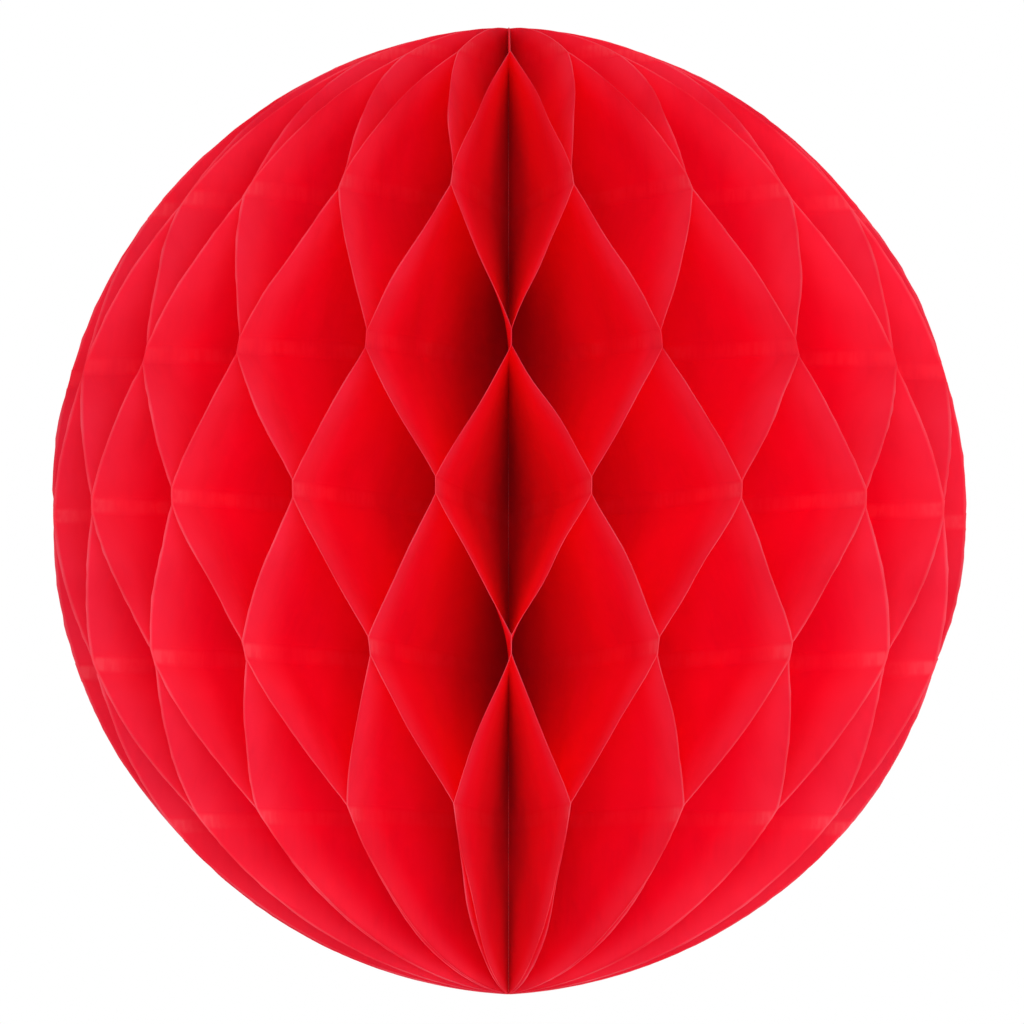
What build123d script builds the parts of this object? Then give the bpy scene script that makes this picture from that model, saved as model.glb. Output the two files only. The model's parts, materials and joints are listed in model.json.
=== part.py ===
"""A tissue-paper honeycomb ball, open, with its two card covers stuck face to face.

The ball is a block of half-round tissue leaves between two half-round card covers, bound along its
straight side. Opening it fans the leaves right round that spine until the covers meet.

The origin is the middle of the ball, +Z runs up the spine, and the seam where the covers meet is at
+Y. Angles turn anticlockwise about +Z, and the leaves are counted that way from the fixed cover.
"""

from build123d import *
import math
import os

# Open ball
BALL_HEIGHT = 200.0  # along the spine
BALL_WIDTH = 189.0  # across the middle

# Leaves: the left half is opened a little less widely than the right one
LEFT_LEAVES = 20
RIGHT_LEAVES = 18
LEFT_STEP = 9.0  # degrees from one leaf to the next
SEAM_ANGLE = 90.0

# Sheet thicknesses
TISSUE = 0.05
CARD = 0.4
TAPE = 0.1

# Spine
THREAD_DIAMETER = 1.0
THREAD_CLEARANCE = 1.0  # from the thread to the leaves' straight edges
CORNER_CLEARANCE = 0.1  # from a cover's straight edge to the leaf that leans over it
FOLDED_GAP = 0.05  # air between two sheets when the ball is folded flat

# Binding strip, glued along the fixed cover's outer face and to the thread
BINDING_LAP = 8.0
BINDING_HEIGHT = 160.0

# Double-sided strips that hold the covers together
STRIP_LENGTH = 25.0
STRIP_WIDTH = 10.0
STRIP_SPACING = 52.0
STRIP_MARGIN = 8.0  # from the round edge

# Hole for a hanging thread: put through the fixed cover, then the free cover's wider hole closes over it
HOLE_DIAMETER = 2.5
FREE_HOLE_DIAMETER = 3.0
HOLE_FROM_EDGE = 5.0  # from the covers' straight edges
HOLE_FROM_TOP = 9.0

RIGHT_STEP = (360.0 - LEFT_LEAVES * LEFT_STEP) / RIGHT_LEAVES
LEAVES = LEFT_LEAVES + RIGHT_LEAVES
STEPS = [LEFT_STEP] * LEFT_LEAVES + [RIGHT_STEP] * RIGHT_LEAVES

# The round edge is an arc whose centre stands behind the spine, so that the ball is taller than wide
REACH = BALL_WIDTH / 2
EDGE_SETBACK = (BALL_HEIGHT**2 / 4 - REACH**2) / (2 * REACH)
EDGE_RADIUS = REACH + EDGE_SETBACK

THREAD_RADIUS = THREAD_DIAMETER / 2
LEAF_INSET = THREAD_RADIUS + THREAD_CLEARANCE
COVER_DEPTH = TAPE / 2 + CARD + 2 * TISSUE + CORNER_CLEARANCE
COVER_INSET = COVER_DEPTH / math.sin(math.radians(min(STEPS)))


def direction(angle):
    """Unit vector out from the spine."""
    return Vector(math.cos(math.radians(angle)), math.sin(math.radians(angle)), 0)


def leaf_angle(count):
    """Where a leaf stands about the spine, with the fixed cover as number 0."""
    return SEAM_ANGLE + sum(STEPS[:count])


def edge_reach(height):
    """Distance from the spine to the round edge at a height."""
    return math.sqrt(EDGE_RADIUS**2 - height**2) - EDGE_SETBACK


def half_disc(inset):
    """Outline of a leaf or a cover: X runs out from the spine and Y up it."""
    disc = Pos(-EDGE_SETBACK, 0) * Circle(EDGE_RADIUS)
    beyond = Pos(inset, 0) * Rectangle(2 * EDGE_RADIUS, 2 * EDGE_RADIUS, align=(Align.MIN, Align.CENTER))
    return disc & beyond


def upright_sheet(outline, angle, low, thickness):
    """Stands an outline on edge at an angle, its thickness running on from low, anticlockwise."""
    ahead = direction(angle + 90)
    plane = Plane(origin=ahead * low, x_dir=direction(angle), z_dir=-ahead)
    return extrude(plane * outline, amount=thickness, dir=ahead)


def cover_outline(hole_diameter):
    """A half-disc with a hole for the hanging thread."""
    hole = Pos(COVER_INSET + HOLE_FROM_EDGE, BALL_HEIGHT / 2 - HOLE_FROM_TOP) * Circle(hole_diameter / 2)
    return half_disc(COVER_INSET) - hole


def fixed_cover():
    """Card cover on the leaves' side of the seam."""
    return upright_sheet(cover_outline(HOLE_DIAMETER), SEAM_ANGLE, TAPE / 2, CARD)


def free_cover():
    """Card cover that has swung right round to the other side of the seam."""
    return upright_sheet(cover_outline(FREE_HOLE_DIAMETER), leaf_angle(LEAVES), -TAPE / 2 - CARD, CARD)


def leaf(count):
    """Tissue leaf at its own angle; the last one lies on the free cover's inner face."""
    if count == LEAVES:
        outline = cover_outline(FREE_HOLE_DIAMETER)
        return upright_sheet(outline, leaf_angle(count), -TAPE / 2 - CARD - TISSUE, TISSUE)
    return upright_sheet(half_disc(LEAF_INSET), leaf_angle(count), -TISSUE / 2, TISSUE)


def spine_thread():
    """Thread that the leaves' straight edges are bound to."""
    return Cylinder(THREAD_RADIUS, BALL_HEIGHT)


def binding_strip():
    """Gummed strip in the seam, from the thread to the fixed cover's outer face."""
    reach = COVER_INSET + BINDING_LAP
    outline = Rectangle(reach, BINDING_HEIGHT, align=(Align.MIN, Align.CENTER))
    return upright_sheet(outline, SEAM_ANGLE, -TAPE / 2, TAPE) - spine_thread()


def adhesive_strip(height):
    """Double-sided strip in the seam, at a height, just inside the round edge."""
    farthest_corner = abs(height) + STRIP_LENGTH / 2
    middle = edge_reach(farthest_corner) - STRIP_MARGIN - STRIP_WIDTH / 2
    outline = Pos(middle, height) * Rectangle(STRIP_WIDTH, STRIP_LENGTH)
    return upright_sheet(outline, SEAM_ANGLE, -TAPE / 2, TAPE)


def folded_gap(count):
    """Distance between the planes of leaves count - 1 and count when the ball is folded flat."""
    gap = TISSUE + FOLDED_GAP
    if count == 1:
        gap = TAPE / 2 + CARD + FOLDED_GAP + TISSUE / 2
    if count == LEAVES:
        gap = TISSUE / 2 + FOLDED_GAP + TISSUE + CARD + TAPE / 2
    return gap


def hinge_point(count):
    """Where leaf count turns on the one before it: turning it back there leaves the two flat."""
    half_step = math.radians(STEPS[count - 1] / 2)
    middle_angle = (leaf_angle(count - 1) + leaf_angle(count)) / 2
    return direction(middle_angle) * (folded_gap(count) / 2 / math.sin(half_step))


os.makedirs("parts", exist_ok=True)

pieces = {
    "fixed_cover": fixed_cover(),
    "free_cover": free_cover(),
    "spine_thread": spine_thread(),
    "binding_strip": binding_strip(),
    "adhesive_strip_lower": adhesive_strip(-STRIP_SPACING),
    "adhesive_strip_middle": adhesive_strip(0),
    "adhesive_strip_upper": adhesive_strip(STRIP_SPACING),
}
for number in range(1, LEAVES + 1):
    pieces[f"tissue_leaf_{number:02d}"] = leaf(number)

for name, piece in pieces.items():
    export_step(piece, f"parts/{name}.step")

for number in range(1, LEAVES + 1):
    point = hinge_point(number)
    print(f"hinge {number:02d}: {point.X:.6f} {point.Y:.6f}, closes by {STEPS[number - 1]:.6f} degrees")
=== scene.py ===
import json
import math

import bpy
import numpy as np
from bpy.props import FloatProperty, FloatVectorProperty, IntProperty, PointerProperty
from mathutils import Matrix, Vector


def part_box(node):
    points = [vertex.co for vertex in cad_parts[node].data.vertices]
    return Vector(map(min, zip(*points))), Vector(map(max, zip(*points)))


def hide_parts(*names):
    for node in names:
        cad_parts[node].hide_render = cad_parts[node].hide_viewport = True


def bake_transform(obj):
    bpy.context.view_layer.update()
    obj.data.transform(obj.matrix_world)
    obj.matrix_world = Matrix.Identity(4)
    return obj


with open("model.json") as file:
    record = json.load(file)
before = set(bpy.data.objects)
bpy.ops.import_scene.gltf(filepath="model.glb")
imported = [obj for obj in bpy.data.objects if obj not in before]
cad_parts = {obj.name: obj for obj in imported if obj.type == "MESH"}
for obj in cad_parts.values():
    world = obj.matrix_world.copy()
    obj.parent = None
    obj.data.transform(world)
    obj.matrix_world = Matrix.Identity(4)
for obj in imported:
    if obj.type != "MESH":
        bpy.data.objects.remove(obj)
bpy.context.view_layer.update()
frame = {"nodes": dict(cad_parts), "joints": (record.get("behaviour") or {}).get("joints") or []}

bl_info = {
    "name": "Paper honeycomb ball",
    "version": (1, 0, 0),
    "blender": (4, 5, 0),
    "location": "3D View > Sidebar > Honeycomb Ball",
    "description": "Folds tissue leaves into a honeycomb ball round its thread and covers",
    "category": "Add Mesh",
}

# The fan: one hinge for each leaf, from the fixed cover round to the free cover
FAN = [joint for joint in frame["joints"] if joint["name"].startswith("fan_")]
LEAVES = len(FAN)
STEPS = [-joint["range_deg"][0] for joint in FAN]
SEAM = 90.0
PLANES = [SEAM + sum(STEPS[:count]) for count in range(LEAVES + 1)]

# The round edge, from the thread's height and the covers' reach
THREAD_LOW, THREAD_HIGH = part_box("spine_thread")
HALF_HEIGHT = (THREAD_HIGH[2] - THREAD_LOW[2]) / 2
THREAD_RADIUS = (THREAD_HIGH[0] - THREAD_LOW[0]) / 2
COVER_LOW, COVER_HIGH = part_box("fixed_cover")
REACH = COVER_HIGH[1]
COVER_FACE = -COVER_LOW[0]
EDGE_SETBACK = (HALF_HEIGHT**2 - REACH**2) / (2 * REACH)
EDGE_RADIUS = REACH + EDGE_SETBACK

# Glue lines, counted from the middle one; the leaves hang loose beyond the last of them
LOWEST_LINE, HIGHEST_LINE = -2, 3
# How far each glue line at the round edge strays from its even height, lowest line first, in metres
LINE_SAG = (-0.0004, 0.0002, -0.0002, -0.0024, 0.0002, 0.0)
# How far each glue plane leans at the round edge, in degrees, from the eleventh plane after the seam
PLANE_LEAN = (0.2, -0.2, -0.2, 0.2, -0.5, -0.45, 0.1, -0.1, 0.25, 0.4, 0.0, -0.5, -0.7, -0.6, -0.65, -0.7, -0.4, -0.3)
FIRST_LEANING = 11
# Planes that crowd towards their neighbours near the top, in degrees
TOP_CROWDING = {16: 1.5, 18: 3.0, 20: 0.6, 22: -0.8, 24: -1.2}

# A leaf ends just short of the poles, where its width runs out
LEAF_TOP = HALF_HEIGHT * 0.9996
# Distance from a glue band's edge to the rows that keep its crease sharp
CREASE = 0.00025
# Distances from the cut edge of the columns that follow it
EDGE_COLUMNS = (0.0, 0.00025, 0.0006, 0.0012, 0.0024)
# How far in from the cut edge a leaf curls, in millimetres
CURL_DEPTH = 2.2
# Thin paper passes light on many times
LIGHT_BOUNCES = 20


# ---------------------------------------------------------------- sizes and colours


class HoneycombTissueSizes(bpy.types.PropertyGroup):
    pitch: FloatProperty(
        name="Glue line pitch",
        description="Height from one glue line to the next, on the two sides of a leaf in turn",
        default=0.0316,
        unit="LENGTH",
    )
    middle: FloatProperty(
        name="Middle glue line",
        description="Height of the middle glue line above the ball's middle",
        default=-0.0023,
        unit="LENGTH",
    )
    band: FloatProperty(
        name="Glue band", description="Height of one line of glue", default=0.0036, unit="LENGTH"
    )
    thickness: FloatProperty(
        name="Tissue thickness", description="Thickness of one leaf", default=0.00005, unit="LENGTH"
    )
    glue: FloatProperty(
        name="Glue thickness",
        description="Distance between two leaves where they are glued",
        default=0.00002,
        unit="LENGTH",
    )
    inner: FloatProperty(
        name="Inner edge",
        description="Distance from the middle of the thread to a leaf's straight edge",
        default=0.0006,
        unit="LENGTH",
    )
    ease: FloatProperty(
        name="Ease", description="How softly a leaf swings from one glue line to the next", default=0.08
    )
    drift: FloatProperty(name="Drift", description="How far the loose ends of the leaves drift apart", default=0.08)
    ripple: FloatProperty(
        name="Ripple", description="Unevenness of a leaf between its glue lines", default=0.1
    )
    curl: FloatProperty(
        name="Edge curl", description="How far a cut edge curls over", default=0.0003, unit="LENGTH"
    )
    columns: IntProperty(name="Columns", description="Faces from a leaf's straight edge to its round edge", default=26)


class HoneycombPaperColours(bpy.types.PropertyGroup):
    tissue: FloatVectorProperty(
        name="Tissue", description="Colour of the tissue leaves", default=(1.0, 0.001, 0.055), subtype="COLOR"
    )
    # painted light: a paler, pinker colour for the outer part of each leaf, where more light reaches
    painted_rim_light: FloatVectorProperty(
        name="Faded",
        description="Colour of the tissue where light and handling have faded it",
        default=(1.0, 0.07, 0.16),
        subtype="COLOR",
    )
    # partly the frayed fibres' own paler colour, partly a painted highlight along the cut edges; the glue lines take it
    # too
    edge: FloatVectorProperty(
        name="Cut edge", description="Colour of the tissue's frayed cut edges", default=(1.0, 0.25, 0.34), subtype="COLOR"
    )
    card: FloatVectorProperty(
        name="Card", description="Colour of the covers", default=(0.72, 0.006, 0.022), subtype="COLOR"
    )
    thread: FloatVectorProperty(
        name="Thread", description="Colour of the spine thread", default=(0.78, 0.05, 0.07), subtype="COLOR"
    )
    binding: FloatVectorProperty(
        name="Binding", description="Colour of the binding strip", default=(0.76, 0.04, 0.06), subtype="COLOR"
    )
    film: FloatVectorProperty(
        name="Film", description="Colour of the adhesive strips", default=(0.9, 0.88, 0.84), subtype="COLOR"
    )


class HoneycombStudio(bpy.types.PropertyGroup):
    distance: FloatProperty(
        name="Camera distance", description="From the ball's middle to the camera", default=1.998, unit="LENGTH"
    )
    height_angle: FloatProperty(
        name="Camera height angle",
        description="Angle of the camera above the ball's middle",
        default=math.radians(-4.57),
        subtype="ANGLE",
    )
    lens: FloatProperty(name="Lens", description="Focal length in millimetres", default=340.2)
    floor: FloatProperty(name="Floor", description="Height of the floor", default=-0.75, unit="LENGTH")
    room: FloatProperty(name="Room light", description="Strength of the light from all round", default=0.62)
    key: FloatProperty(name="Soft box", description="Power of the soft box in front", default=27.0, unit="POWER")
    top: FloatProperty(name="Top soft box", description="Power of the soft box above", default=6.0, unit="POWER")
    side: FloatProperty(
        name="Side soft box", description="Power of the small soft box low on the right", default=4.5, unit="POWER"
    )


# ---------------------------------------------------------------- helpers


def deselect_all():
    if bpy.context.object and bpy.context.object.mode != "OBJECT":
        bpy.ops.object.mode_set(mode="OBJECT")
    bpy.ops.object.select_all(action="DESELECT")


def only(piece):
    """Selects one piece and makes it active."""
    deselect_all()
    piece.select_set(True)
    bpy.context.view_layer.objects.active = piece


def smooth(x):
    x = np.clip(x, 0.0, 1.0)
    return x * x * (3 - 2 * x)


def edge_reach(height):
    """Distance from the spine to the round edge at a height."""
    return np.sqrt(np.maximum(EDGE_RADIUS**2 - height**2, 0.0)) - EDGE_SETBACK


def glue_heights(sizes):
    """Heights of the glue lines at the spine, lowest first."""
    return sizes.middle + sizes.pitch * np.arange(LOWEST_LINE, HIGHEST_LINE + 1)


def plane_lean(count):
    """How far a glue plane leans at the round edge, in radians."""
    place = count - FIRST_LEANING
    return math.radians(PLANE_LEAN[place]) if 0 <= place < len(PLANE_LEAN) else 0.0


def crowd(count):
    """How far a glue plane crowds towards its neighbours near the top, in radians."""
    return math.radians(TOP_CROWDING.get(count, 0.0))


# ---------------------------------------------------------------- node groups and materials


def new_group(name, inputs, outputs):
    group = bpy.data.node_groups.new(name, "ShaderNodeTree")
    for socket, kind, value in inputs:
        made = group.interface.new_socket(name=socket, in_out="INPUT", socket_type=kind)
        if value is not None:
            made.default_value = value
    for socket, kind in outputs:
        group.interface.new_socket(name=socket, in_out="OUTPUT", socket_type=kind)
    return group, group.nodes.new("NodeGroupInput"), group.nodes.new("NodeGroupOutput")


def node(tree, kind, settings=(), values=(), links=()):
    """Adds a node; values and links are keyed by input name or number."""
    made = tree.nodes.new(kind)
    for key, value in dict(settings).items():
        setattr(made, key, value)
    for key, value in dict(values).items():
        made.inputs[key].default_value = value
    for key, value in dict(links).items():
        tree.links.new(value, made.inputs[key])
    return made


def paper_fibre_group():
    """Clouds and fibres of thin paper."""
    group, start, end = new_group(
        "Paper fibres",
        [
            ("Place", "NodeSocketVector", None),
            ("Cloud Scale", "NodeSocketFloat", 8.0),
            ("Fibre Scale", "NodeSocketFloat", 90.0),
        ],
        [("Cloud", "NodeSocketFloat"), ("Fibre", "NodeSocketFloat")],
    )
    place = start.outputs["Place"]
    cloud = node(
        group, "ShaderNodeTexNoise", values={"Detail": 2.0, "Roughness": 0.55},
        links={"Vector": place, "Scale": start.outputs["Cloud Scale"]},
    )
    along = node(
        group, "ShaderNodeMapping", values={"Scale": (1.0, 0.3, 1.0), "Rotation": (0.0, 0.0, 0.35)},
        links={"Vector": place},
    )
    fibre = node(
        group, "ShaderNodeTexNoise", values={"Detail": 1.0, "Distortion": 0.6},
        links={"Vector": along.outputs[0], "Scale": start.outputs["Fibre Scale"]},
    )
    group.links.new(cloud.outputs[0], end.inputs["Cloud"])
    group.links.new(fibre.outputs[0], end.inputs["Fibre"])
    return group


def shaded_colour_group():
    """A colour, made darker and lighter by a pattern, and paler where worn."""
    group, start, end = new_group(
        "Shaded colour",
        [
            ("Colour", "NodeSocketColor", (0.8, 0.0, 0.0, 1.0)),
            ("Worn Colour", "NodeSocketColor", (1.0, 0.1, 0.1, 1.0)),
            ("Pattern", "NodeSocketFloat", 0.5),
            ("Variation", "NodeSocketFloat", 0.1),
            ("Wear", "NodeSocketFloat", 0.0),
        ],
        [("Colour", "NodeSocketColor")],
    )
    shift = node(group, "ShaderNodeMath", {"operation": "SUBTRACT"}, {1: 0.5}, {0: start.outputs["Pattern"]})
    scale = node(
        group, "ShaderNodeMath", {"operation": "MULTIPLY_ADD"}, {2: 1.0},
        {0: shift.outputs[0], 1: start.outputs["Variation"]},
    )
    varied = node(
        group, "ShaderNodeVectorMath", {"operation": "SCALE"},
        links={0: start.outputs["Colour"], "Scale": scale.outputs[0]},
    )
    worn = node(
        group, "ShaderNodeMix", {"data_type": "RGBA"},
        links={"Factor": start.outputs["Wear"], "A": varied.outputs[0], "B": start.outputs["Worn Colour"]},
    )
    group.links.new(worn.outputs["Result"], end.inputs["Colour"])
    return group


def glue_line_group():
    """1 on a sheet's glue lines, fading to 0 at the edges of the glue."""
    group, start, end = new_group(
        "Glue lines",
        [
            ("Place", "NodeSocketVector", None),
            ("Pitch", "NodeSocketFloat", 0.3),
            ("Middle", "NodeSocketFloat", 0.0),
            ("Half Band", "NodeSocketFloat", 0.02),
            ("Lowest", "NodeSocketFloat", -2.5),
        ],
        [("Glue", "NodeSocketFloat")],
    )
    parts = node(group, "ShaderNodeSeparateXYZ", links={0: start.outputs["Place"]})
    above = node(
        group, "ShaderNodeMath", {"operation": "SUBTRACT"}, {},
        {0: parts.outputs["Y"], 1: start.outputs["Middle"]},
    )
    count = node(group, "ShaderNodeMath", {"operation": "DIVIDE"}, {}, {0: above.outputs[0], 1: start.outputs["Pitch"]})
    nearest = node(group, "ShaderNodeMath", {"operation": "ROUND"}, {}, {0: count.outputs[0]})
    off = node(group, "ShaderNodeMath", {"operation": "SUBTRACT"}, {}, {0: count.outputs[0], 1: nearest.outputs[0]})
    away = node(group, "ShaderNodeMath", {"operation": "ABSOLUTE"}, {}, {0: off.outputs[0]})
    distance = node(
        group, "ShaderNodeMath", {"operation": "MULTIPLY"}, {}, {0: away.outputs[0], 1: start.outputs["Pitch"]},
    )
    share = node(
        group, "ShaderNodeMath", {"operation": "DIVIDE"}, {},
        {0: distance.outputs[0], 1: start.outputs["Half Band"]},
    )
    fade = node(
        group, "ShaderNodeMapRange", {"interpolation_type": "SMOOTHSTEP"}, {"From Min": 1.0, "From Max": 0.45},
        {"Value": share.outputs[0]},
    )
    within = node(
        group, "ShaderNodeMath", {"operation": "GREATER_THAN"}, {},
        {0: count.outputs[0], 1: start.outputs["Lowest"]},
    )
    glue = node(group, "ShaderNodeMath", {"operation": "MULTIPLY"}, {}, {0: fade.outputs[0], 1: within.outputs[0]})
    group.links.new(glue.outputs[0], end.inputs["Glue"])
    return group


def new_material(name):
    material = bpy.data.materials.new(name)
    material.use_nodes = True
    tree = material.node_tree
    tree.nodes.clear()
    return material, tree, tree.nodes.new("ShaderNodeOutputMaterial")


def tissue_material(sizes, colours, groups):
    """Thin red tissue that lets light through, paler where glued and along its cut edges, with a painted highlight on
    the cut edges and painted light on the outer part of each leaf.
    """
    material, tree, end = new_material("red_tissue_paper")
    sheet = node(tree, "ShaderNodeUVMap", {"uv_map": "sheet"})
    paper = node(
        tree, "ShaderNodeGroup", {"node_tree": groups["fibres"]},
        {"Cloud Scale": 4.5, "Fibre Scale": 75.0}, {"Place": sheet.outputs[0]},
    )
    glue = node(
        tree, "ShaderNodeGroup", {"node_tree": groups["glue"]},
        {"Pitch": sizes.pitch * 10, "Middle": sizes.middle * 10, "Half Band": sizes.band * 5, "Lowest": LOWEST_LINE - 0.5},
        {"Place": sheet.outputs[0]},
    )
    rim = node(tree, "ShaderNodeAttribute", {"attribute_name": "rim"})
    # frayed edge and painted highlight: the cut edge is paler from its frayed fibres and painted lighter as a highlight
    # line, strong at the cut, gone within a millimetre, and stronger in places
    frayed_and_highlighted = node(
        tree, "ShaderNodeMapRange", {"interpolation_type": "SMOOTHSTEP"},
        {"From Min": 0.8, "From Max": 0.1, "To Min": 0.0, "To Max": 1.0}, {"Value": rim.outputs["Fac"]},
    )
    worn_places = node(
        tree, "ShaderNodeMapRange", {}, {"From Min": 0.38, "From Max": 0.68, "To Min": 0.12, "To Max": 1.0},
        {"Value": paper.outputs["Cloud"]},
    )
    edge = node(
        tree, "ShaderNodeMath", {"operation": "MULTIPLY"}, {},
        {0: frayed_and_highlighted.outputs[0], 1: worn_places.outputs[0]},
    )
    # glue shows most by the round edge
    inward = node(
        tree, "ShaderNodeMapRange", {"interpolation_type": "SMOOTHSTEP"},
        {"From Min": 0.0, "From Max": 7.0, "To Min": 0.8, "To Max": 0.09}, {"Value": rim.outputs["Fac"]},
    )
    streaked = node(
        tree, "ShaderNodeMapRange", {}, {"From Min": 0.35, "From Max": 0.6, "To Min": 0.4, "To Max": 1.0},
        {"Value": paper.outputs["Fibre"]},
    )
    uneven = node(
        tree, "ShaderNodeMath", {"operation": "MULTIPLY"}, {},
        {0: streaked.outputs[0], 1: worn_places.outputs[0]},
    )
    daubed = node(tree, "ShaderNodeMath", {"operation": "MULTIPLY"}, {}, {0: inward.outputs[0], 1: uneven.outputs[0]})
    glued = node(tree, "ShaderNodeMath", {"operation": "MULTIPLY"}, {}, {0: glue.outputs["Glue"], 1: daubed.outputs[0]})
    # wear: the frayed edge with its painted highlight, and the glue lines
    wear = node(tree, "ShaderNodeMath", {"operation": "MAXIMUM"}, {}, {0: edge.outputs[0], 1: glued.outputs[0]})
    # painted light: the outer part of each leaf, where more light reaches into the cells, is painted paler and pinker
    painted_rim_light_zone = node(
        tree, "ShaderNodeMapRange", {"interpolation_type": "SMOOTHSTEP"},
        {"From Min": 16.0, "From Max": 1.0, "To Min": 0.0, "To Max": 0.85}, {"Value": rim.outputs["Fac"]},
    )
    patchy = node(
        tree, "ShaderNodeMapRange", {}, {"From Min": 0.3, "From Max": 0.7, "To Min": 0.55, "To Max": 1.0},
        {"Value": paper.outputs["Cloud"]},
    )
    painted_rim_light_share = node(tree, "ShaderNodeMath", {"operation": "MULTIPLY"}, {}, {0: painted_rim_light_zone.outputs[0], 1: patchy.outputs[0]})
    tissue_and_rim_light = node(
        tree, "ShaderNodeMix", {"data_type": "RGBA"}, {"A": (*colours.tissue, 1.0), "B": (*colours.painted_rim_light, 1.0)},
        {"Factor": painted_rim_light_share.outputs[0]},
    )
    pattern = node(
        tree, "ShaderNodeMath", {"operation": "MULTIPLY_ADD"}, {1: 0.5, 2: 0.25}, {0: paper.outputs["Fibre"]},
    )
    tone = node(
        tree, "ShaderNodeMix", {"data_type": "FLOAT"}, {"Factor": 0.5},
        {"A": paper.outputs["Cloud"], "B": pattern.outputs[0]},
    )
    front = node(
        tree, "ShaderNodeGroup", {"node_tree": groups["colour"]},
        {"Worn Colour": (*colours.edge, 1.0), "Variation": 0.2},
        {"Colour": tissue_and_rim_light.outputs["Result"], "Pattern": tone.outputs["Result"], "Wear": wear.outputs[0]},
    )
    through = node(
        tree, "ShaderNodeGroup", {"node_tree": groups["colour"]},
        {"Worn Colour": (*colours.edge, 1.0), "Variation": 0.25},
        {"Colour": tissue_and_rim_light.outputs["Result"], "Pattern": tone.outputs["Result"], "Wear": wear.outputs[0]},
    )
    crumple = node(tree, "ShaderNodeTexNoise", {}, {"Scale": 9.0, "Detail": 1.0}, {"Vector": sheet.outputs[0]})
    crumpled = node(tree, "ShaderNodeBump", {}, {"Strength": 0.8, "Distance": 0.0012}, {"Height": crumple.outputs[0]})
    bump = node(
        tree, "ShaderNodeBump", {}, {"Strength": 0.4, "Distance": 0.00012},
        {"Height": paper.outputs["Fibre"], "Normal": crumpled.outputs[0]},
    )
    rough = node(
        tree, "ShaderNodeMapRange", {}, {"From Min": 0.3, "From Max": 0.7, "To Min": 0.72, "To Max": 0.9},
        {"Value": paper.outputs["Cloud"]},
    )
    skin = node(
        tree, "ShaderNodeBsdfPrincipled", {},
        {"Specular IOR Level": 0.16, "Sheen Weight": 0.04, "Sheen Roughness": 0.4, "Sheen Tint": (1.0, 0.35, 0.45, 1.0)},
        {"Base Color": front.outputs[0], "Roughness": rough.outputs[0], "Normal": bump.outputs[0]},
    )
    glow = node(tree, "ShaderNodeBsdfTranslucent", {}, {}, {"Color": through.outputs[0]})
    both = node(tree, "ShaderNodeMixShader", {}, {0: 0.65}, {1: skin.outputs[0], 2: glow.outputs[0]})
    tree.links.new(both.outputs[0], end.inputs["Surface"])
    return material


def paper_material(name, colour, worn, groups, cloud, fibre, roughness):
    """Card or gummed paper: fibres, a little unevenness, and a dry surface."""
    material, tree, end = new_material(name)
    place = node(tree, "ShaderNodeTexCoord")
    turned = node(
        tree, "ShaderNodeMapping", {}, {"Rotation": (0.0, math.pi / 2, 0.0)},
        {"Vector": place.outputs["Object"]},
    )
    paper = node(
        tree, "ShaderNodeGroup", {"node_tree": groups["fibres"]}, {"Cloud Scale": cloud, "Fibre Scale": fibre},
        {"Place": turned.outputs[0]},
    )
    wear = node(
        tree, "ShaderNodeMapRange", {}, {"From Min": 0.55, "From Max": 0.75, "To Min": 0.0, "To Max": 0.5},
        {"Value": paper.outputs["Fibre"]},
    )
    tint = node(
        tree, "ShaderNodeGroup", {"node_tree": groups["colour"]},
        {"Colour": (*colour, 1.0), "Worn Colour": (*worn, 1.0), "Variation": 0.25},
        {"Pattern": paper.outputs["Cloud"], "Wear": wear.outputs[0]},
    )
    bump = node(tree, "ShaderNodeBump", {}, {"Strength": 0.4, "Distance": 0.0001}, {"Height": paper.outputs["Fibre"]})
    rough = node(
        tree, "ShaderNodeMapRange", {},
        {"From Min": 0.3, "From Max": 0.7, "To Min": roughness - 0.08, "To Max": roughness + 0.08},
        {"Value": paper.outputs["Cloud"]},
    )
    skin = node(
        tree, "ShaderNodeBsdfPrincipled", {}, {"Specular IOR Level": 0.25},
        {"Base Color": tint.outputs[0], "Roughness": rough.outputs[0], "Normal": bump.outputs[0]},
    )
    tree.links.new(skin.outputs[0], end.inputs["Surface"])
    return material


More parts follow.
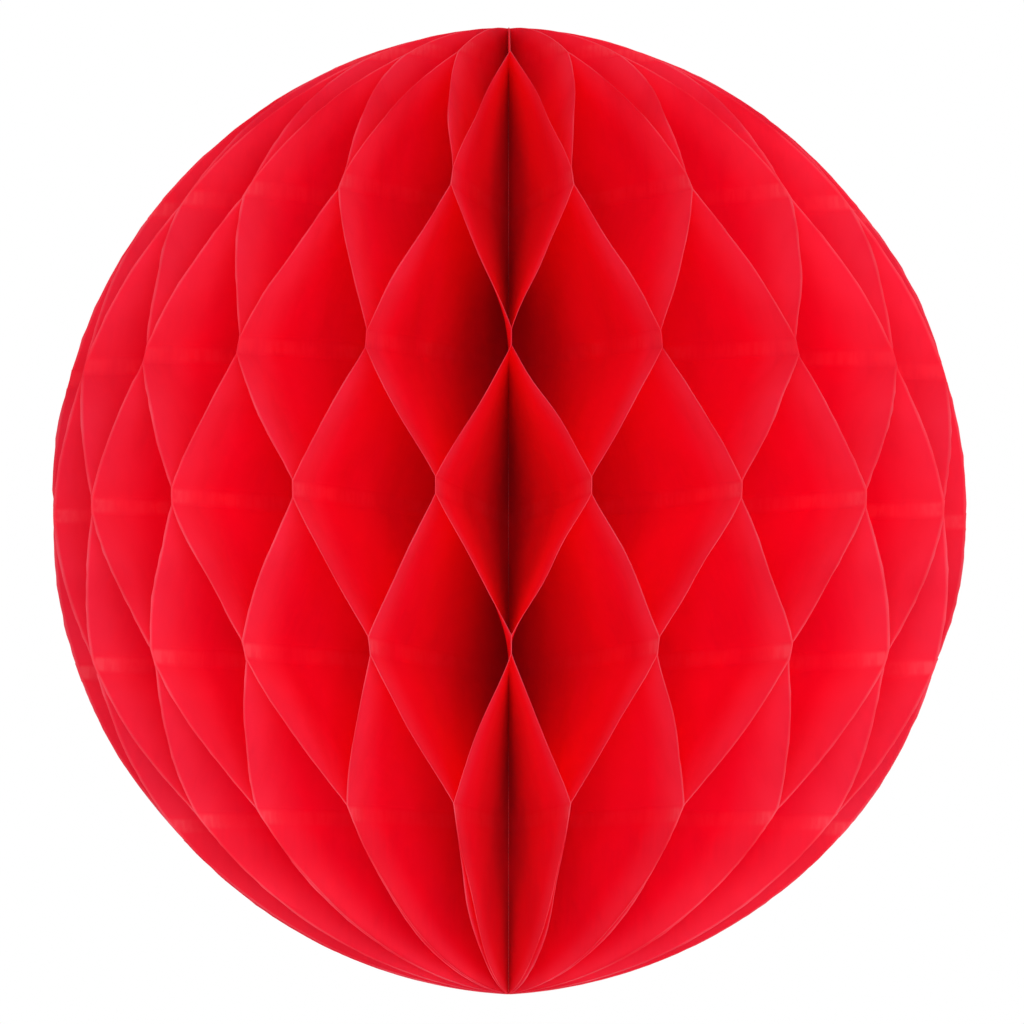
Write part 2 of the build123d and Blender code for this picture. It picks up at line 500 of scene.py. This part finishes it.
def thread_material(colours, groups):
    """Twisted thread: slanting plies with a soft sheen, and painted shade in the grooves between the plies."""
    material, tree, end = new_material("spine_thread_twist")
    place = node(tree, "ShaderNodeTexCoord")
    parts = node(tree, "ShaderNodeSeparateXYZ", links={0: place.outputs["Object"]})
    round_about = node(
        tree, "ShaderNodeMath", {"operation": "ARCTAN2"}, {}, {0: parts.outputs["Y"], 1: parts.outputs["X"]},
    )
    climb = node(tree, "ShaderNodeMath", {"operation": "MULTIPLY"}, {1: 2 * math.pi / 0.0024}, {0: parts.outputs["Z"]})
    turn = node(tree, "ShaderNodeMath", {"operation": "ADD"}, {}, {0: round_about.outputs[0], 1: climb.outputs[0]})
    plies = node(tree, "ShaderNodeMath", {"operation": "MULTIPLY"}, {1: 3.0}, {0: turn.outputs[0]})
    wave = node(tree, "ShaderNodeMath", {"operation": "SINE"}, {}, {0: plies.outputs[0]})
    height = node(tree, "ShaderNodeMapRange", {}, {"From Min": -1.0, "From Max": 1.0}, {"Value": wave.outputs[0]})
    fuzz = node(tree, "ShaderNodeTexNoise", {}, {"Scale": 4000.0, "Detail": 2.0}, {"Vector": place.outputs["Object"]})
    tone = node(
        tree, "ShaderNodeMix", {"data_type": "FLOAT"}, {"Factor": 0.35},
        {"A": height.outputs[0], "B": fuzz.outputs[0]},
    )
    # painted shade: the colour follows the plies' height, darker in the grooves and lighter on the ridges, with random
    # fuzz
    tint = node(
        tree, "ShaderNodeGroup", {"node_tree": groups["colour"]},
        {"Colour": (*colours.thread, 1.0), "Worn Colour": (*colours.edge, 1.0), "Variation": 0.7},
        {"Pattern": tone.outputs["Result"]},
    )
    bump = node(tree, "ShaderNodeBump", {}, {"Strength": 0.8, "Distance": 0.00012}, {"Height": tone.outputs["Result"]})
    skin = node(
        tree, "ShaderNodeBsdfPrincipled", {}, {"Specular IOR Level": 0.3, "Sheen Weight": 0.3, "Roughness": 0.7},
        {"Base Color": tint.outputs[0], "Normal": bump.outputs[0]},
    )
    tree.links.new(skin.outputs[0], end.inputs["Surface"])
    return material


def film_material(colours, groups):
    """Cloudy double-sided film with trapped air and lint."""
    material, tree, end = new_material("adhesive_film_cloudy")
    place = node(tree, "ShaderNodeTexCoord")
    paper = node(
        tree, "ShaderNodeGroup", {"node_tree": groups["fibres"]}, {"Cloud Scale": 140.0, "Fibre Scale": 900.0},
        {"Place": place.outputs["Object"]},
    )
    wear = node(
        tree, "ShaderNodeMapRange", {}, {"From Min": 0.55, "From Max": 0.8, "To Min": 0.0, "To Max": 0.6},
        {"Value": paper.outputs["Cloud"]},
    )
    tint = node(
        tree, "ShaderNodeGroup", {"node_tree": groups["colour"]},
        {"Colour": (*colours.film, 1.0), "Worn Colour": (0.98, 0.98, 0.97, 1.0), "Variation": 0.15},
        {"Pattern": paper.outputs["Fibre"], "Wear": wear.outputs[0]},
    )
    rough = node(
        tree, "ShaderNodeMapRange", {}, {"From Min": 0.3, "From Max": 0.7, "To Min": 0.3, "To Max": 0.5},
        {"Value": paper.outputs["Cloud"]},
    )
    skin = node(
        tree, "ShaderNodeBsdfPrincipled", {}, {},
        {"Base Color": tint.outputs[0], "Roughness": rough.outputs[0]},
    )
    tree.links.new(skin.outputs[0], end.inputs["Surface"])
    return material


def shared_groups():
    """The shader node groups that the materials share, each made once."""
    makers = {
        "fibres": ("Paper fibres", paper_fibre_group),
        "colour": ("Shaded colour", shaded_colour_group),
        "glue": ("Glue lines", glue_line_group),
    }
    return {key: bpy.data.node_groups.get(name) or make() for key, (name, make) in makers.items()}


def cover_node(name, material):
    """Gives a CAD node its material."""
    piece = frame["nodes"][name]
    for slot in piece.material_slots:
        slot.material = material


# ---------------------------------------------------------------- tissue leaves


def row_heights(sizes):
    """Heights of a leaf's rows of faces: close together at the glue bands, wider between them."""
    lines = glue_heights(sizes)
    half = sizes.band / 2
    rows = [-LEAF_TOP]
    edges = [-LEAF_TOP] + [value for line in lines for value in (line - half, line + half)] + [LEAF_TOP]
    for low, high in zip(edges[0::2], edges[1::2]):
        # even steps along the round edge, so that it stays round by the poles
        first, last = math.asin(low / EDGE_RADIUS), math.asin(high / EDGE_RADIUS)
        count = max(4, round((last - first) * EDGE_RADIUS / 0.0021))
        rows += [EDGE_RADIUS * math.sin(angle) for angle in np.linspace(first, last, count + 1)[1:-1]]
        if low > -LEAF_TOP:
            rows.append(low + CREASE)
        if high < LEAF_TOP:
            rows.append(high - CREASE)
    for line in lines:
        rows += [line - half, line, line + half]
    rows.append(LEAF_TOP)
    return np.array(sorted(set(round(row, 9) for row in rows)))


def flat_leaf(sizes):
    """The flat half-round leaf that every leaf is copied from: X runs out from the spine and Y up it."""
    rows = row_heights(sizes)
    columns = sizes.columns
    deselect_all()
    bpy.ops.mesh.primitive_grid_add(x_subdivisions=columns, y_subdivisions=len(rows) - 1, size=2 * HALF_HEIGHT)
    leaf = bpy.context.object
    leaf.name = "leaf_pattern"
    count = len(leaf.data.vertices)
    corner = np.zeros(count * 3)
    leaf.data.vertices.foreach_get("co", corner)
    corner = corner.reshape(-1, 3)
    column = np.rint((corner[:, 0] / (2 * HALF_HEIGHT) + 0.5) * columns).astype(int)
    row = np.rint((corner[:, 1] / (2 * HALF_HEIGHT) + 0.5) * (len(rows) - 1)).astype(int)
    height = rows[row]
    margins = np.array(EDGE_COLUMNS)
    length = np.maximum(edge_reach(height) - sizes.inner, 0.0)
    shrink = np.minimum(1.0, length / 0.008)
    body = columns - len(margins) + 1
    from_edge = np.zeros(count)
    inside = column < body
    share = np.clip(column / body, 0, 1) ** 0.9
    from_edge[inside] = (length - (length - margins[-1] * shrink) * share)[inside]
    from_edge[~inside] = (margins[::-1][np.clip(column - body, 0, len(margins) - 1)] * shrink)[~inside]
    flat = np.stack([sizes.inner + length - from_edge, height, np.zeros(count)], axis=1)
    leaf.data.vertices.foreach_set("co", flat.ravel())
    leaf.data.update()
    # the sheet's own map, one unit to a decimetre
    made = leaf.data.uv_layers.new(name="sheet")
    corners = np.zeros(len(leaf.data.loops), int)
    leaf.data.loops.foreach_get("vertex_index", corners)
    made.data.foreach_set("uv", (flat[corners][:, :2] * 10).ravel())
    for other in list(leaf.data.uv_layers):
        if other.name != "sheet":
            leaf.data.uv_layers.remove(other)
    rim = leaf.data.attributes.new("rim", "FLOAT", "POINT")
    rim.data.foreach_set("value", (from_edge * 1000).astype(np.float32))
    return leaf


def swing(height, number, sizes):
    """Share of the step by which a leaf has swung over from its first glue plane, at each height."""
    lines = glue_heights(sizes)
    half = sizes.band / 2
    # a leaf is glued to its first plane at every other line and to its last plane at the rest
    odd = (np.arange(LOWEST_LINE, HIGHEST_LINE + 1) % 2).astype(float)
    held = 1 - odd if number % 2 else odd
    share = np.where(height < lines[0], held[0], held[-1])
    for index in range(len(lines) - 1):
        low, high = lines[index] + half, lines[index + 1] - half
        t = np.clip((height - low) / (high - low), 0, 1)
        t = (1 - sizes.ease) * t + sizes.ease * smooth(t)
        # the paper runs straight between the lines, so its angle changes faster where the ball is narrow
        near, far = edge_reach(lines[index]), edge_reach(lines[index + 1])
        t = t * far / ((1 - t) * near + t * far)
        here = (height >= lines[index] - half) & (height <= lines[index + 1])
        share[here] = (held[index] + (held[index + 1] - held[index]) * t)[here]
    # the loose ends drift a little towards the middle
    for line, keep, side in ((lines[0] - half, held[0], -1), (lines[-1] + half, held[-1], 1)):
        out = np.clip((height - line) * side / (HALF_HEIGHT - abs(line)), 0, 1)
        share += (0.5 - keep) * sizes.drift * smooth(out)
    return share


def between_lines(height, sizes):
    """0 on the glue lines and 1 half way between them."""
    lines = glue_heights(sizes)
    nearest = np.abs(height[:, None] - lines[None, :]).min(axis=1)
    return smooth((nearest - sizes.band / 2) / (sizes.pitch / 2 - sizes.band / 2))


def waves(seed, out, up, lengths):
    """Smooth seeded unevenness over a sheet, from about -1 to 1."""
    chance = np.random.default_rng(seed)
    total = np.zeros_like(out)
    for length in lengths:
        angle, phase, size = chance.uniform(0, math.pi), chance.uniform(0, 2 * math.pi), chance.uniform(0.6, 1.0)
        total += size * np.sin(2 * math.pi * (out * math.cos(angle) + up * math.sin(angle)) / length + phase)
    return total / len(lengths)


def fold_leaf(leaf, number, sizes):
    """Moves a flat leaf's points to where it hangs between two glue planes, and stores how far each point has swung as
    the swung attribute.
    """
    mesh = leaf.data
    count = len(mesh.vertices)
    flat = np.zeros(count * 3)
    mesh.vertices.foreach_get("co", flat)
    flat = flat.reshape(-1, 3)
    height = flat[:, 1].copy()
    edge = np.maximum(edge_reach(height) - sizes.inner, 1e-9)
    share_out = np.clip((flat[:, 0] - sizes.inner) / edge, 0, 1)
    step = math.radians(STEPS[number - 1])
    share = swing(height, number, sizes)
    # glue lines sag a little towards the round edge
    lines = glue_heights(sizes)
    knots = np.concatenate([[-HALF_HEIGHT], lines, [HALF_HEIGHT]])
    sag = np.interp(height, knots, np.concatenate([[0], LINE_SAG, [0]]))
    edge_height = np.clip(height + sag, -LEAF_TOP, LEAF_TOP)
    length = np.maximum(edge_reach(edge_height) - sizes.inner, 1e-9)
    radius = sizes.inner + length * share_out
    up = height + (edge_height - height) * share_out**2
    # lean, ripple and curl are all part of the swing
    outward = radius / REACH
    lean = plane_lean(number - 1) * (1 - share) + plane_lean(number) * share
    # near the top some planes crowd together a little
    crowding = smooth((height - lines[-2]) / (lines[-1] - lines[-2])) * (REACH / np.maximum(edge_reach(height), 0.02) - 1)
    lean += crowding * (crowd(number - 1) * (1 - share) + crowd(number) * share)
    loose = between_lines(height, sizes)
    ripple = sizes.ripple * loose * waves(100 + number, radius, up, (0.028, 0.045, 0.08)) * outward
    rim = np.zeros(count, np.float32)
    mesh.attributes["rim"].data.foreach_get("value", rim)
    curling = np.clip(1 - rim / CURL_DEPTH, 0, 1) ** 2 * loose
    curl = sizes.curl * curling * (0.5 + waves(300 + number, np.zeros(count), up, (0.018, 0.031, 0.05)) * 1.2)
    side = 1 if (number % 2 == 0) else -1
    swung = share + (lean * outward) / step + ripple + side * curl / (np.maximum(radius, 0.004) * step)
    chance = np.random.default_rng(500 + number)
    radius += np.where(rim < 0.02, chance.uniform(-0.00012, 0.00012, count), 0.0) * (share_out > 0)
    angle = math.radians(PLANES[number - 1]) + swung * step
    # thickness: a leaf lies beside its glue planes, not on them
    first = sizes.thickness / 2 + sizes.glue / 2
    last = first
    if number == 1:
        first = COVER_FACE + sizes.thickness / 2 + sizes.glue / 2
    if number == LEAVES:
        last = COVER_FACE + sizes.thickness / 2 + sizes.glue / 2
    aside = first * (1 - share) - last * share
    across = radius * np.cos(angle) - aside * np.sin(angle)
    along = radius * np.sin(angle) + aside * np.cos(angle)
    placed = np.stack([across, along, up], axis=1)
    mesh.vertices.foreach_set("co", placed.ravel())
    mesh.update()
    made = mesh.attributes.new("swung", "FLOAT", "POINT")
    made.data.foreach_set("value", swung.astype(np.float32))


def finish_leaf(leaf, sizes):
    """Gives the sheet its thickness and a smooth surface."""
    only(leaf)
    bpy.ops.object.mode_set(mode="EDIT")
    bpy.ops.mesh.select_all(action="SELECT")
    bpy.ops.mesh.normals_make_consistent(inside=False)
    bpy.ops.object.mode_set(mode="OBJECT")
    wall = leaf.modifiers.new("Tissue", "SOLIDIFY")
    wall.thickness = sizes.thickness
    wall.offset = 0.0
    wall.use_rim = True
    bpy.ops.object.modifier_apply(modifier=wall.name)
    bpy.ops.object.shade_smooth_by_angle(angle=math.radians(50))


def hang_leaf(leaf, number):
    """Hides the leaf's CAD part, bakes its transform and drops the swung attribute."""
    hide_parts(f"tissue_leaf_{number:02d}")
    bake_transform(leaf)
    swung = np.zeros(len(leaf.data.vertices), np.float32)
    leaf.data.attributes["swung"].data.foreach_get("value", swung)
    leaf.data.attributes.remove(leaf.data.attributes["swung"])


class HONEYCOMB_OT_leaves(bpy.types.Operator):
    """Cut the tissue leaves and fold them between their glue planes"""

    bl_idname = "honeycomb.leaves"
    bl_label = "Tissue leaves"

    def execute(self, context):
        sizes = context.scene.honeycomb_tissue
        material = tissue_material(sizes, context.scene.honeycomb_colours, shared_groups())
        pattern = flat_leaf(sizes)
        for number in range(1, LEAVES + 1):
            leaf = pattern.copy()
            leaf.data = pattern.data.copy()
            leaf.name = leaf.data.name = f"leaf_sheet_{number:02d}"
            context.collection.objects.link(leaf)
            leaf.data.materials.clear()
            leaf.data.materials.append(material)
            fold_leaf(leaf, number, sizes)
            finish_leaf(leaf, sizes)
            hang_leaf(leaf, number)
        bpy.data.meshes.remove(pattern.data)
        return {"FINISHED"}


class HONEYCOMB_OT_covers(bpy.types.Operator):
    """Finish the two card covers"""

    bl_idname = "honeycomb.covers"
    bl_label = "Card covers"

    def execute(self, context):
        colours = context.scene.honeycomb_colours
        material = paper_material("cover_card_fibres", colours.card, (0.82, 0.06, 0.08), shared_groups(), 45.0, 900.0, 0.75)
        for name in ("fixed_cover", "free_cover"):
            cover_node(name, material)
        return {"FINISHED"}


class HONEYCOMB_OT_binding(bpy.types.Operator):
    """Finish the spine thread, the binding strip and the adhesive strips"""

    bl_idname = "honeycomb.binding"
    bl_label = "Thread, binding and strips"

    def execute(self, context):
        colours = context.scene.honeycomb_colours
        groups = shared_groups()
        cover_node("spine_thread", thread_material(colours, groups))
        worn = (0.85, 0.12, 0.12)
        binding = paper_material("binding_paper_fibres", colours.binding, worn, groups, 80.0, 1400.0, 0.6)
        cover_node("binding_strip", binding)
        film = film_material(colours, groups)
        for name in ("adhesive_strip_lower", "adhesive_strip_middle", "adhesive_strip_upper"):
            cover_node(name, film)
        return {"FINISHED"}


# ---------------------------------------------------------------- stage


def soft_box(name, place, target, size, power, colour=(1.0, 1.0, 1.0)):
    data = bpy.data.lights.new(name, "AREA")
    data.shape = "RECTANGLE"
    data.size, data.size_y = size
    data.energy = power
    data.color = colour
    light = bpy.data.objects.new(name, data)
    light.location = place
    light.rotation_euler = (Vector(target) - Vector(place)).to_track_quat("-Z", "Y").to_euler()
    bpy.context.collection.objects.link(light)
    return light


class HONEYCOMB_OT_stage(bpy.types.Operator):
    """Set the pale floor, the soft studio light and the camera"""

    bl_idname = "honeycomb.stage"
    bl_label = "Stage"

    def execute(self, context):
        scene, studio = context.scene, context.scene.honeycomb_studio
        # floor
        deselect_all()
        bpy.ops.mesh.primitive_plane_add(size=8.0, location=(0.0, 0.0, studio.floor))
        floor = context.object
        floor.name = "pale_floor"
        bpy.ops.object.transform_apply(location=True, rotation=False, scale=False)
        material, tree, end = new_material("floor_paint")
        place = node(tree, "ShaderNodeTexCoord")
        noise = node(tree, "ShaderNodeTexNoise", {}, {"Scale": 3.0, "Detail": 4.0}, {"Vector": place.outputs["Object"]})
        tint = node(tree, "ShaderNodeMapRange", {}, {"To Min": 0.84, "To Max": 0.9}, {"Value": noise.outputs[0]})
        skin = node(
            tree, "ShaderNodeBsdfPrincipled", {}, {"Roughness": 0.85, "Specular IOR Level": 0.2},
            {"Base Color": tint.outputs[0]},
        )
        tree.links.new(skin.outputs[0], end.inputs["Surface"])
        floor.data.materials.append(material)
        # light from all round, with a bright white backdrop behind the ball
        world = bpy.data.worlds.new("Pale room")
        world.use_nodes = True
        tree = world.node_tree
        sky = tree.nodes["Background"]
        sky.inputs["Color"].default_value = (1.0, 1.0, 1.0, 1.0)
        sky.inputs["Strength"].default_value = studio.room
        backdrop = node(tree, "ShaderNodeBackground", {}, {"Color": (1.0, 1.0, 1.0, 1.0), "Strength": 1.0})
        seen = node(tree, "ShaderNodeLightPath")
        both = node(
            tree, "ShaderNodeMixShader", {}, {},
            {0: seen.outputs["Is Camera Ray"], 1: sky.outputs[0], 2: backdrop.outputs[0]},
        )
        tree.links.new(both.outputs[0], tree.nodes["World Output"].inputs["Surface"])
        scene.world = world
        soft_box("soft_box_front", (0.12, -2.4, -0.05), (0.0, 0.0, 0.0), (1.3, 1.3), studio.key)
        soft_box("soft_box_side", (1.4, -1.8, -0.35), (0.0, 0.0, 0.0), (0.5, 0.5), studio.side)
        soft_box("soft_box_top", (0.2, 1.1, 1.3), (0.0, 0.0, 0.0), (0.8, 0.8), studio.top)
        # camera
        data = bpy.data.cameras.new("camera")
        data.lens = studio.lens
        data.sensor_width = 36.0
        data.clip_start, data.clip_end = 0.05, 20.0
        camera = bpy.data.objects.new("camera", data)
        away = Vector((0.0, -math.cos(studio.height_angle), math.sin(studio.height_angle)))
        camera.location = away * studio.distance
        aim = Vector((0.00072, 0.0, -0.0005))
        camera.rotation_euler = (aim - camera.location).to_track_quat("-Z", "Y").to_euler()
        context.collection.objects.link(camera)
        scene.camera = camera
        scene.view_settings.view_transform = "Standard"
        scene.cycles.max_bounces = LIGHT_BOUNCES
        scene.cycles.diffuse_bounces = LIGHT_BOUNCES
        scene.cycles.transmission_bounces = LIGHT_BOUNCES
        return {"FINISHED"}


class HONEYCOMB_PT_panel(bpy.types.Panel):
    bl_label = "Honeycomb ball"
    bl_idname = "HONEYCOMB_PT_panel"
    bl_space_type = "VIEW_3D"
    bl_region_type = "UI"
    bl_category = "Honeycomb Ball"

    def draw(self, context):
        for operator in OPERATORS:
            self.layout.operator(operator.bl_idname)
        for group in (context.scene.honeycomb_tissue, context.scene.honeycomb_colours, context.scene.honeycomb_studio):
            box = self.layout.box()
            for name in group.bl_rna.properties.keys():
                if name not in ("rna_type", "name"):
                    box.prop(group, name)


OPERATORS = (HONEYCOMB_OT_leaves, HONEYCOMB_OT_covers, HONEYCOMB_OT_binding, HONEYCOMB_OT_stage)
CLASSES = (HoneycombTissueSizes, HoneycombPaperColours, HoneycombStudio, *OPERATORS, HONEYCOMB_PT_panel)


def register():
    for made in CLASSES:
        bpy.utils.register_class(made)
    bpy.types.Scene.honeycomb_tissue = PointerProperty(type=HoneycombTissueSizes)
    bpy.types.Scene.honeycomb_colours = PointerProperty(type=HoneycombPaperColours)
    bpy.types.Scene.honeycomb_studio = PointerProperty(type=HoneycombStudio)


def unregister():
    del bpy.types.Scene.honeycomb_studio
    del bpy.types.Scene.honeycomb_colours
    del bpy.types.Scene.honeycomb_tissue
    for made in reversed(CLASSES):
        bpy.utils.unregister_class(made)


def main():
    register()
    bpy.ops.honeycomb.leaves()
    bpy.ops.honeycomb.covers()
    bpy.ops.honeycomb.binding()
    bpy.ops.honeycomb.stage()


if __name__ == "__main__":
    main()
